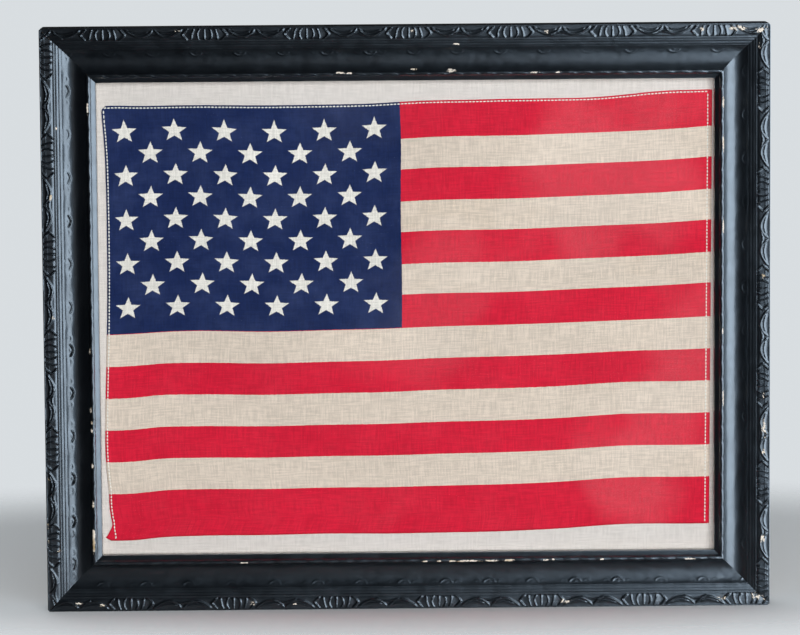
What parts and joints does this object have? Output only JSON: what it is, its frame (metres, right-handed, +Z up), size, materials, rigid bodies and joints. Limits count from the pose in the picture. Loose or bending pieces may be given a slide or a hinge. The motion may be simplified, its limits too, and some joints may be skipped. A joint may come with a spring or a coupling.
{
  "type": "framed flag display case",
  "caption": "Mitred black moulding that holds a flag on a linen mount behind spaced glass, closed at the back by turn buttons, with strap hangers and bumpers.",
  "frame": {"origin": "middle of the case's bottom edge, which is the flat face it stands on", "axes": "+X across the case, to the right seen from the front; +Y from the front to the back; +Z up"},
  "size_m": [0.5254, 0.0328, 0.4238],
  "materials": {
    "moulding": "black satin paint over wood and pressed ornament, chipped to cream at the high points",
    "fastener_steel": "zinc plated",
    "button_steel": "zinc plated, formed sheet",
    "hanger_steel": "zinc plated strip and wire",
    "glazing": "clear picture glass",
    "spacer": "matt grey-white",
    "mount_board": "matt rag board",
    "mount_linen": "plain-weave linen, warm light grey",
    "flag_cotton": "printed cotton, red, cream and navy, tanned with age",
    "backing": "smooth brown hardboard",
    "bumper_rubber": "matt black rubber"
  },
  "bodies": {
    "case": {"rail_bottom": "moulding", "rail_left": "moulding", "rail_top": "moulding", "rail_right": "moulding", "corner_v_nails": "fastener_steel", "glass_pane": "glazing", "spacer_top": "spacer", "spacer_bottom": "spacer", "spacer_left": "spacer", "spacer_right": "spacer", "mount_board": "mount_board", "mount_linen": "mount_linen", "flag": "flag_cotton", "backing_board": "backing", "turn_button_screws": "fastener_steel", "hanger_strap_left": "hanger_steel", "hanger_strap_right": "hanger_steel", "hanger_screws": "fastener_steel", "bumper_left": "bumper_rubber", "bumper_right": "bumper_rubber"},
    "button_1": {"turn_button_1": "button_steel"},
    "button_2": {"turn_button_2": "button_steel"},
    "button_3": {"turn_button_3": "button_steel"},
    "button_4": {"turn_button_4": "button_steel"},
    "button_5": {"turn_button_5": "button_steel"},
    "button_6": {"turn_button_6": "button_steel"},
    "ring_left": {"hanger_ring_left": "hanger_steel"},
    "ring_right": {"hanger_ring_right": "hanger_steel"}
  },
  "joints": [
    {"name": "button_1_turn", "type": "hinge", "parent": "case", "child": "button_1", "pos_m": [-0.12, 0.0103, 0.3987], "axis": [0, 1, 0], "continuous": true},
    {"name": "button_2_turn", "type": "hinge", "parent": "case", "child": "button_2", "pos_m": [0.12, 0.0103, 0.3987], "axis": [0, 1, 0], "continuous": true},
    {"name": "button_3_turn", "type": "hinge", "parent": "case", "child": "button_3", "pos_m": [-0.12, 0.0103, 0.0251], "axis": [0, 1, 0], "continuous": true},
    {"name": "button_4_turn", "type": "hinge", "parent": "case", "child": "button_4", "pos_m": [0.12, 0.0103, 0.0251], "axis": [0, 1, 0], "continuous": true},
    {"name": "button_5_turn", "type": "hinge", "parent": "case", "child": "button_5", "pos_m": [-0.2376, 0.0103, 0.2119], "axis": [0, 1, 0], "continuous": true},
    {"name": "button_6_turn", "type": "hinge", "parent": "case", "child": "button_6", "pos_m": [0.2376, 0.0103, 0.2119], "axis": [0, 1, 0], "continuous": true},
    {"name": "ring_left_swing", "type": "hinge", "parent": "case", "child": "ring_left", "pos_m": [-0.2477, 0.0124, 0.29], "axis": [-1, 0, 0], "range_deg": [0, 160]},
    {"name": "ring_right_swing", "type": "hinge", "parent": "case", "child": "ring_right", "pos_m": [0.2477, 0.0124, 0.29], "axis": [-1, 0, 0], "range_deg": [0, 160]}
  ]
}
